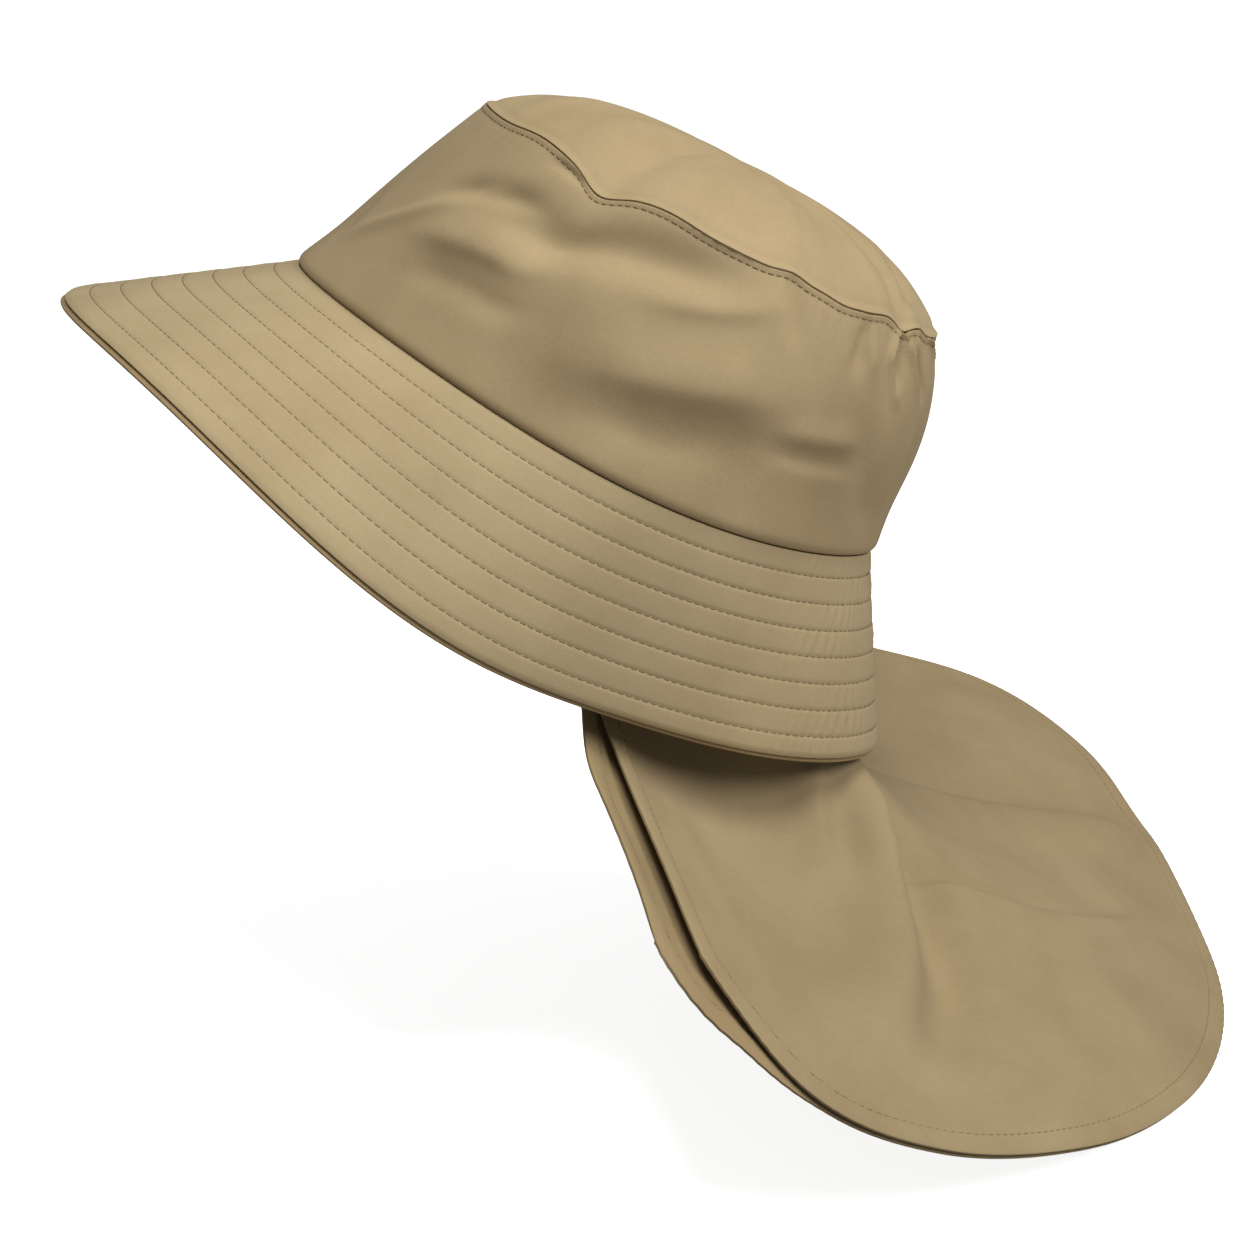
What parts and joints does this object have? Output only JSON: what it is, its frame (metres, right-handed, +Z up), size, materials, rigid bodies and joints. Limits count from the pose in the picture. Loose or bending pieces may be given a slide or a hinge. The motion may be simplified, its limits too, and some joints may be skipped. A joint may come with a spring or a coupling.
{
  "type": "safari hat",
  "caption": "Soft bucket hat with a wide stitched two-layer brim and a long two-ply neck flap, as worn, tipped back.",
  "frame": {"origin": "centre of the head opening, where the crown meets the brim", "axes": "+Z straight up as worn, -Y towards the front of the hat, +X towards its left side"},
  "size_m": [0.3492, 0.3804, 0.3029],
  "materials": {
    "crown_cloth": "matt khaki cloth",
    "brim_cloth": "matt khaki cloth, stitched rows",
    "brim_under_cloth": "matt khaki cloth",
    "flap_cloth": "matt khaki cloth",
    "flap_inner_cloth": "matt khaki cloth"
  },
  "bodies": {
    "root": {"crown_tip": "crown_cloth", "crown_side": "crown_cloth", "brim_upper": "brim_cloth", "brim_under": "brim_under_cloth", "neck_flap_outer": "flap_cloth", "neck_flap_inner": "flap_inner_cloth"}
  },
  "joints": []
}
